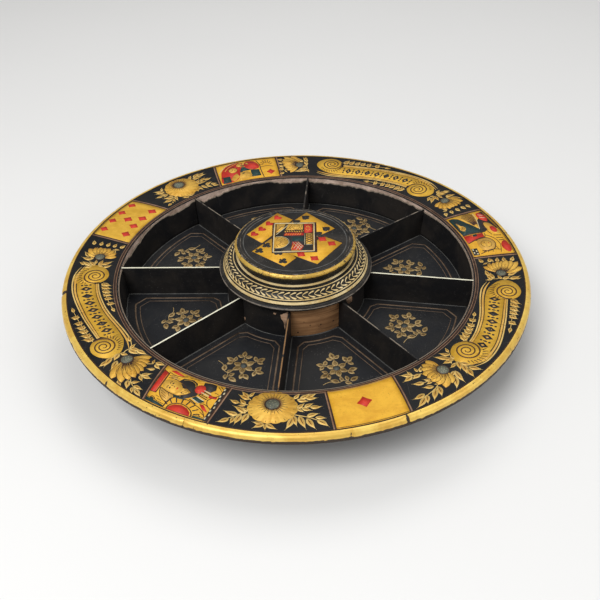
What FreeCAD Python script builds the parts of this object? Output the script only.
import FreeCAD, Part
import Sketcher

import os
import re

# A round games tray with eight compartments round a lidded centre pot, turning on a low foot.
# Millimetres and degrees. The origin is the middle of the foot's underside, +Z is up, and the
# viewer stands on the -Y side. Angles run anticlockwise from +X, seen from above.

# Driving dimensions. A bulge is how far an arc bows out from its chord, a hollow how far it bows in.
SIZES = {
    # Foot and pivot
    "foot_baize_radius": 90.0,
    "foot_baize_thickness": 1.5,
    "foot_radius": 92.0,
    "foot_roll_height": 7.0,
    "foot_roll_bulge": 2.2,
    "foot_step": 2.6,
    "foot_height": 16.5,
    "foot_cove_radius": 70.0,
    "foot_cove_hollow": 3.0,
    "foot_collar_step": 2.0,
    "foot_collar_height": 1.6,
    "pilot_radius": 2.5,
    "pilot_depth": 14.0,
    "washer_radius": 26.0,
    "washer_thickness": 1.0,
    "screw_shank_radius": 3.2,
    "screw_core_radius": 2.45,
    "screw_length_in_foot": 13.0,
    "screw_point": 2.4,
    "screw_head_radius": 6.6,
    "screw_head_drop": 0.4,
    "screw_slot_width": 1.2,
    "screw_slot_depth": 1.4,
    "bush_radius": 9.0,
    "running_fit": 0.08,
    # Tray
    "board_thickness": 7.5,
    "well_edge_radius": 172.0,
    "wall_lean": 2.5,
    "wall_thickness": 4.2,
    "wall_height": 27.5,
    "lining_thickness": 0.8,
    "floor_panel_thickness": 1.5,
    "glue_gap": 0.1,
    # Rim
    "rim_thickness": 6.0,
    "rim_width": 47.6,
    "rim_rise": 2.4,
    "rim_crown": 0.5,
    "rim_edge_round": 0.8,
    "moulding_width": 5.1,
    "moulding_round": 4.5,
    "moulding_under_round": 1.6,
    "moulding_joint_angle": 246.0,
    "moulding_joint_gap": 0.4,
    # Drum, dividers and pot
    "drum_radius": 67.2,
    "drum_thickness": 3.6,
    "drum_rise": 2.5,
    "drum_edge_round": 0.7,
    "drum_lining_drop": 1.8,
    "divider_thickness": 1.8,
    "divider_drop": 0.6,
    "divider_clearance": 0.15,
    "pot_baize_thickness": 1.2,
    # Lid, with heights above its seat on the drum
    "lid_overhang": 7.0,
    "lid_under_round": 1.6,
    "lid_edge_height": 3.9,
    "lid_edge_width": 3.6,
    "lid_edge_bulge": 0.8,
    "lid_shoulder_height": 14.2,
    "lid_shoulder_width": 12.0,
    "lid_shoulder_bulge": 2.2,
    "lid_step_width": 1.7,
    "lid_neck_hollow": 1.8,
    "lid_bead_overhang": 1.3,
    "lid_bead_bottom": 24.0,
    "lid_bead_belly": 1.6,
    "lid_bead_belly_bulge": 0.4,
    "lid_bead_width": 5.8,
    "lid_bead_bulge": 1.3,
    "lid_height": 28.6,
    "lid_quirk": 0.35,
    "lid_dish_margin": 3.1,
    "lid_dish_height": 16.0,
    "lid_dish_flat_radius": 14.0,
    "lid_dish_hollow": 3.8,
    "lid_collar_thickness": 2.6,
    "lid_collar_depth": 10.0,
    "lid_collar_rebate": 4.0,
    "lid_fit": 0.4,
    # Direction of each divider
    "divider_1_angle": 35.5,
    "divider_2_angle": 84.5,
    "divider_3_angle": 129.5,
    "divider_4_angle": 178.2,
    "divider_5_angle": 221.8,
    "divider_6_angle": 264.3,
    "divider_7_angle": 306.5,
    "divider_8_angle": 350.2,
}
COMPARTMENTS = 8

# The compartment whose drum lining is lost
BARE_COMPARTMENT = 6

# Sizes that follow from the driving dimensions
DERIVED = {
    "foot_top": "foot_baize_thickness + foot_height",
    "roll_top": "foot_baize_thickness + foot_roll_height",
    "cove_top": "foot_top - foot_collar_height",
    "board_bottom": "foot_top + washer_thickness",
    "board_top": "board_bottom + board_thickness",
    "floor_top": "board_top + floor_panel_thickness",
    "rim_bottom": "board_top + wall_height",
    "rim_top": "rim_bottom + rim_thickness",
    "rim_outer_radius": "well_edge_radius + rim_width",
    "rim_outer_top": "rim_top + rim_rise",
    "moulding_inner_radius": "rim_outer_radius + glue_gap",
    "tray_radius": "moulding_inner_radius + moulding_width",
    "lining_back": "lining_thickness + glue_gap",
    "well_floor_radius": "well_edge_radius - wall_lean",
    "wall_slope": "wall_lean / (rim_bottom - floor_top)",
    "hoop_top_radius": "well_edge_radius + lining_back",
    "hoop_board_radius": "hoop_top_radius - wall_slope * wall_height",
    "board_radius": "hoop_board_radius - glue_gap",
    "drum_inner_radius": "drum_radius - drum_thickness",
    "drum_face": "drum_radius + glue_gap",
    "drum_top": "rim_top + drum_rise",
    "divider_top": "rim_top - divider_drop",
    "divider_offset": "divider_thickness / 2 + divider_clearance",
    "bush_bore": "screw_shank_radius + running_fit",
    "screw_head_top": "board_top - screw_head_drop",
    "screw_head_bottom": "screw_head_top - screw_head_radius + screw_shank_radius",
    "screw_tip": "foot_top - screw_length_in_foot",
    "collar_radius": "drum_inner_radius - lid_fit",
    "collar_inner_radius": "collar_radius - lid_collar_thickness",
    "lid_radius": "drum_radius + lid_overhang",
    "lid_shoulder_radius": "lid_radius - lid_edge_width",
    "lid_step_radius": "lid_shoulder_radius - lid_shoulder_width",
    "lid_neck_radius": "lid_step_radius - lid_step_width",
    "lid_bead_radius": "lid_neck_radius + lid_bead_overhang",
    "lid_dish_radius": "collar_inner_radius - lid_dish_margin",
}

doc = FreeCAD.newDocument("PopeJoanBoard")
sheet = doc.addObject("Spreadsheet::Sheet", "Sizes")
contents = [(alias, str(number)) for alias, number in SIZES.items()]
contents += [(alias, "=" + formula) for alias, formula in DERIVED.items()]
for row, (alias, content) in enumerate(contents, start=1):
    sheet.set(f"A{row}", alias)
    sheet.set(f"B{row}", content)
    sheet.setAlias(f"B{row}", alias)
doc.recompute()

# Helpers
ALIASES = set(SIZES) | set(DERIVED)
UP = FreeCAD.Vector(0, 0, 1)
sub_parts = []


def cells(expression):
    """Write every alias in an expression as a cell of the sheet."""
    def cell(word):
        return "Sizes." + word[0] if word[0] in ALIASES else word[0]
    return re.sub(r"[a-z_][a-z_0-9]*", cell, expression)


def value(expression):
    """Number that an expression over the sheet's aliases has now."""
    result = sheet.evalExpression(cells(expression))
    return float(getattr(result, "Value", result))


def new_body(label):
    """Empty body that becomes one sub-part."""
    body = doc.addObject("PartDesign::Body", "body_" + label)
    body.Label = label
    body.Placement = FreeCAD.Placement()
    sub_parts.append(body)
    return body


def new_sketch(body, name, role):
    """Sketch on one of the body's own origin planes."""
    plane = next(item for item in body.Origin.OriginFeatures if item.Role == role)
    sketch = body.newObject("Sketcher::SketchObject", name)
    sketch.AttachmentSupport = [(plane, "")]
    sketch.MapMode = "FlatFace"
    return sketch


def bind_point(sketch, edge, end, across, up):
    """Hold a point of a sketch at two sizes from the sketch's origin."""
    for kind, size in (("DistanceX", across), ("DistanceY", up)):
        rule = Sketcher.Constraint(kind, -1, 1, edge, end, value(size))
        number = sketch.addConstraint(rule)
        sketch.setExpression(f"Constraints[{number}]", cells(size))


def arc_middle(start, end, bulge):
    """Middle of an arc between two corners, bowed by the bulge to the right of its way."""
    along = f"({end[0]} - ({start[0]}))"
    rise = f"({end[1]} - ({start[1]}))"
    length = f"sqrt({along}^2 + {rise}^2)"
    across = f"({start[0]} + {end[0]}) / 2 + ({bulge}) * {rise} / {length}"
    up = f"({start[1]} + {end[1]}) / 2 - ({bulge}) * {along} / {length}"
    return across, up


def outline(sketch, corners):
    """Closed anticlockwise outline. A corner is (across, up), reached by a line, or (across, up,
    bulge), reached by an arc that bows outwards. All are expressions over the sheet."""
    spots = [FreeCAD.Vector(value(corner[0]), value(corner[1]), 0) for corner in corners]
    begins = []
    ends = []
    for index, corner in enumerate(corners):
        start = spots[index - 1]
        end = spots[index]
        if len(corner) == 2:
            edge = sketch.addGeometry(Part.LineSegment(start, end))
            begins.append((edge, 1))
            ends.append((edge, 2))
            continue
        across, up = arc_middle(corners[index - 1], corner, corner[2])
        middle = FreeCAD.Vector(value(across), value(up), 0)
        convex = value(corner[2]) > 0
        first, last = (start, end) if convex else (end, start)
        edge = sketch.addGeometry(Part.Arc(first, middle, last))
        begins.append((edge, 1 if convex else 2))
        ends.append((edge, 2 if convex else 1))
        mark = sketch.addGeometry(Part.Point(middle), True)
        bind_point(sketch, mark, 1, across, up)
        sketch.addConstraint(Sketcher.Constraint("PointOnObject", mark, 1, edge))
    for index, corner in enumerate(corners):
        following = begins[(index + 1) % len(corners)]
        sketch.addConstraint(Sketcher.Constraint("Coincident", *ends[index], *following))
        bind_point(sketch, *ends[index], corner[0], corner[1])


def quarter_bulge(radius):
    """Bulge of a quarter circle."""
    return f"{radius} * (1 - sqrt(0.5))"


def turned(label, corners, angle="360"):
    """Sub-part turned about the Z axis from an outline in radius and height."""
    body = new_body(label)
    sketch = new_sketch(body, "profile_" + label, "XZ_Plane")
    outline(sketch, corners)
    feature = body.newObject("PartDesign::Revolution", "turning_" + label)
    feature.Profile = sketch
    feature.ReferenceAxis = (sketch, ["V_Axis"])
    feature.setExpression("Angle", cells(angle))
    body.Tip = feature
    return body


def ring(inner, outer, bottom, top):
    """Rectangular outline between two radii and two heights."""
    return [(inner, bottom), (outer, bottom), (outer, top), (inner, top)]


def face_towards(body, angle):
    """Swing a sub-part about the Z axis to an angle over the sheet."""
    body.Placement = FreeCAD.Placement(FreeCAD.Vector(), FreeCAD.Rotation(UP, value(angle)))
    body.setExpression("Placement.Rotation.Angle", cells(angle))


def bay(compartment):
    """Angle of the divider that a compartment starts at, and the angle it spans."""
    following = compartment % COMPARTMENTS + 1
    start = f"divider_{compartment}_angle * 1deg"
    whole_turn = "360 * 1deg" if following == 1 else "0 * 1deg"
    return start, f"(divider_{following}_angle * 1deg + {whole_turn} - {start})"


def slack(radius):
    """Angle at a radius from a divider's middle to the pieces fitted beside it."""
    return f"asin(divider_offset / ({radius}))"


# Stand: baize, foot, washer and screw
def make_foot_baize():
    turned("foot_baize", ring("0", "foot_baize_radius", "0", "foot_baize_thickness"))


def make_base_foot():
    """Low turned foot: a roll, a step, a cove and a collar, with the screw's pilot hole."""
    turned("base_foot", [
        ("0", "foot_baize_thickness"),
        ("foot_radius", "foot_baize_thickness"),
        ("foot_radius", "roll_top", "foot_roll_bulge"),
        ("foot_radius - foot_step", "roll_top"),
        ("foot_cove_radius", "cove_top", "-foot_cove_hollow"),
        ("foot_cove_radius - foot_collar_step", "cove_top"),
        ("foot_cove_radius - foot_collar_step", "foot_top"),
        ("pilot_radius", "foot_top"),
        ("pilot_radius", "foot_top - pilot_depth"),
        ("0", "foot_top - pilot_depth"),
    ])


def make_thrust_washer():
    turned("thrust_washer", ring("bush_bore", "washer_radius", "foot_top", "board_bottom"))


def make_pivot_screw():
    """Countersunk wood screw, plain where the tray turns on it, slotted across its head."""
    body = turned("pivot_screw", [
        ("0", "screw_tip"),
        ("screw_core_radius", "screw_tip + screw_point"),
        ("screw_core_radius", "foot_top"),
        ("screw_shank_radius", "foot_top"),
        ("screw_shank_radius", "screw_head_bottom"),
        ("screw_head_radius", "screw_head_top"),
        ("0", "screw_head_top"),
    ])
    sketch = new_sketch(body, "slot_outline", "XY_Plane")
    sketch.setExpression("AttachmentOffset.Base.z", cells("screw_head_top"))
    outline(sketch, [
        ("-screw_head_radius", "-screw_slot_width / 2"),
        ("screw_head_radius", "-screw_slot_width / 2"),
        ("screw_head_radius", "screw_slot_width / 2"),
        ("-screw_head_radius", "screw_slot_width / 2"),
    ])
    slot = body.newObject("PartDesign::Pocket", "slot")
    slot.Profile = sketch
    slot.setExpression("Length", cells("screw_slot_depth"))
    body.Tip = slot


# Tray: board, bush, wall, rim and moulding
def make_bottom_board():
    turned("bottom_board", ring("bush_radius + glue_gap", "board_radius", "board_bottom", "board_top"))


def make_pivot_bush():
    """Brass bush in the board, with a countersunk mouth that the screw's head bears in."""
    turned("pivot_bush", [
        ("bush_bore", "board_bottom"),
        ("bush_radius", "board_bottom"),
        ("bush_radius", "screw_head_top"),
        ("screw_head_radius + running_fit", "screw_head_top"),
        ("bush_bore", "screw_head_bottom"),
    ])


def make_well_hoop():
    """Bent hoop round the board, leaning out from the floor to the rim."""
    turned("well_hoop", [
        ("hoop_board_radius", "board_bottom"),
        ("hoop_board_radius + wall_thickness", "board_bottom"),
        ("hoop_top_radius + wall_thickness", "rim_bottom"),
        ("hoop_top_radius", "rim_bottom"),
        ("hoop_board_radius", "board_top"),
    ])


def make_rim_board():
    """Broad ring, dished so that its outer edge is the higher, with a slight crown."""
    turned("rim_board", [
        ("well_edge_radius", "rim_bottom"),
        ("rim_outer_radius", "rim_bottom"),
        ("rim_outer_radius", "rim_outer_top"),
        ("well_edge_radius + rim_edge_round", "rim_top", "rim_crown"),
        ("well_edge_radius", "rim_top - rim_edge_round", quarter_bulge("rim_edge_round")),
    ])


def make_edge_moulding():
    """Applied strip round the rim with a rounded face, its ends meeting in an open butt joint."""
    half_joint = "asin(moulding_joint_gap / 2 / tray_radius)"
    body = turned("edge_moulding", [
        ("moulding_inner_radius", "rim_bottom"),
        ("tray_radius - moulding_under_round", "rim_bottom"),
        ("tray_radius", "rim_bottom + moulding_under_round", quarter_bulge("moulding_under_round")),
        ("tray_radius", "rim_outer_top - moulding_round"),
        ("tray_radius - moulding_round", "rim_outer_top", quarter_bulge("moulding_round")),
        ("moulding_inner_radius", "rim_outer_top"),
    ], f"360 * 1deg - 2 * {half_joint}")
    face_towards(body, f"moulding_joint_angle * 1deg + {half_joint}")


# Floor, wall and drum linings
def make_floor_panel(compartment):
    """Floor lining of one compartment, its sides parallel to the dividers."""
    start, span = bay(compartment)
    inner = "drum_face"
    outer = "board_radius"

    def near_side(radius):
        return f"{radius} * cos({slack(radius)})", f"{radius} * sin({slack(radius)})"

    def far_side(radius):
        angle = f"({span} - {slack(radius)})"
        return f"{radius} * cos({angle})", f"{radius} * sin({angle})"

    def bulge(radius):
        return f"{radius} * (1 - cos({span} / 2 - {slack(radius)}))"

    body = new_body(f"floor_panel_{compartment}")
    sketch = new_sketch(body, f"floor_outline_{compartment}", "XY_Plane")
    sketch.setExpression("AttachmentOffset.Base.z", cells("board_top"))
    outline(sketch, [
        near_side(inner) + (f"-({bulge(inner)})",),
        near_side(outer),
        far_side(outer) + (bulge(outer),),
        far_side(inner),
    ])
    pad = body.newObject("PartDesign::Pad", f"floor_sheet_{compartment}")
    pad.Profile = sketch
    pad.setExpression("Length", cells("floor_panel_thickness"))
    body.Tip = pad
    face_towards(body, start)


def lining_strip(label, compartment, radius, corners):
    """Strip bent round between two dividers, cleared from them at the given radius."""
    start, span = bay(compartment)
    body = turned(label, corners, f"{span} - 2 * {slack(radius)}")
    face_towards(body, f"{start} + {slack(radius)}")


def make_wall_lining(compartment):
    """Lining of the leaning outer wall, from the floor to the rim."""
    lining_strip(f"wall_lining_{compartment}", compartment, "well_floor_radius", [
        ("well_floor_radius", "floor_top"),
        ("well_floor_radius + lining_thickness", "floor_top"),
        ("well_edge_radius + lining_thickness", "rim_bottom"),
        ("well_edge_radius", "rim_bottom"),
    ])


def make_drum_lining(compartment):
    """Lining of the drum."""
    strip = ring("drum_face", "drum_radius + lining_back", "floor_top", "drum_top - drum_lining_drop")
    lining_strip(f"drum_lining_{compartment}", compartment, "drum_face", strip)


# Drum, dividers and pot
def make_drum_hoop():
    """Bent hoop that makes the centre pot and carries the lid."""
    turned("drum_hoop", [
        ("drum_inner_radius", "board_top"),
        ("drum_radius", "board_top"),
        ("drum_radius", "drum_top - drum_edge_round"),
        ("drum_radius - drum_edge_round", "drum_top", quarter_bulge("drum_edge_round")),
        ("drum_inner_radius + drum_edge_round", "drum_top"),
        ("drum_inner_radius", "drum_top - drum_edge_round", quarter_bulge("drum_edge_round")),
    ])


def make_divider(number):
    """Thin board on edge from the drum to the wall, cut to the wall's lean and under the rim."""
    body = new_body(f"divider_{number}")
    sketch = new_sketch(body, f"divider_outline_{number}", "XZ_Plane")
    outline(sketch, [
        ("drum_face", "board_top"),
        ("hoop_board_radius - glue_gap", "board_top"),
        ("hoop_top_radius - glue_gap", "rim_bottom"),
        ("well_edge_radius - glue_gap", "rim_bottom"),
        ("well_edge_radius - glue_gap", "divider_top"),
        ("drum_face", "divider_top"),
    ])
    pad = body.newObject("PartDesign::Pad", f"divider_board_{number}")
    pad.Profile = sketch
    pad.SideType = "Symmetric"
    pad.setExpression("Length", cells("divider_thickness"))
    body.Tip = pad
    face_towards(body, f"divider_{number}_angle")


def make_pot_baize():
    radius = "drum_inner_radius - glue_gap"
    turned("pot_baize", ring("0", radius, "board_top", "board_top + pot_baize_thickness"))


# Lid
def make_lid_turning():
    """Turned lid: dished and grooved beneath, with a round edge, a swelling shoulder, a hollow
    neck, a bead and a flat top set just below the bead."""
    def above_seat(profile):
        return [(corner[0], f"drum_top + {corner[1]}") + corner[2:] for corner in profile]

    under = [
        ("0", "lid_dish_height"),
        ("lid_dish_flat_radius", "lid_dish_height"),
        ("lid_dish_radius", "0", "-lid_dish_hollow"),
        ("collar_inner_radius - glue_gap", "0"),
        ("collar_inner_radius - glue_gap", "lid_collar_rebate"),
        ("collar_radius + glue_gap", "lid_collar_rebate"),
        ("collar_radius + glue_gap", "0"),
        ("lid_radius - lid_under_round", "0"),
    ]
    outside = [
        ("lid_radius", "lid_under_round", quarter_bulge("lid_under_round")),
        ("lid_shoulder_radius", "lid_edge_height", "lid_edge_bulge"),
        ("lid_step_radius", "lid_shoulder_height", "lid_shoulder_bulge"),
        ("lid_neck_radius", "lid_shoulder_height"),
        ("lid_neck_radius", "lid_bead_bottom", "-lid_neck_hollow"),
        ("lid_bead_radius", "lid_bead_bottom + lid_bead_belly", "lid_bead_belly_bulge"),
        ("lid_bead_radius - lid_bead_width", "lid_height", "lid_bead_bulge"),
        ("lid_bead_radius - lid_bead_width", "lid_height - lid_quirk"),
        ("0", "lid_height - lid_quirk"),
    ]
    turned("lid_turning", above_seat(under + outside))


def make_lid_collar():
    """Ring let into the lid's underside, which drops into the drum and keeps the lid central."""
    bottom = "drum_top - lid_collar_depth"
    top = "drum_top + lid_collar_rebate"
    turned("lid_collar", ring("collar_inner_radius", "collar_radius", bottom, top))


make_foot_baize()
make_base_foot()
make_thrust_washer()
make_pivot_screw()
make_bottom_board()
make_pivot_bush()
make_well_hoop()
make_rim_board()
make_edge_moulding()
make_drum_hoop()
make_pot_baize()
for place in range(1, COMPARTMENTS + 1):
    make_divider(place)
    make_floor_panel(place)
    make_wall_lining(place)
    if place != BARE_COMPARTMENT:
        make_drum_lining(place)
make_lid_turning()
make_lid_collar()
doc.recompute()

# Every object is sound before anything is written
for item in doc.Objects:
    if "Invalid" in item.State or "Error" in item.State:
        raise RuntimeError(f"{item.Label} failed: {item.State}")
for body in sub_parts:
    shape = body.Shape
    if shape.isNull() or not shape.isValid() or len(shape.Solids) != 1:
        raise RuntimeError(f"{body.Label} is not one sound solid")

os.makedirs("parts", exist_ok=True)
for body in sub_parts:
    body.Shape.exportStep(f"parts/{body.Label}.step")
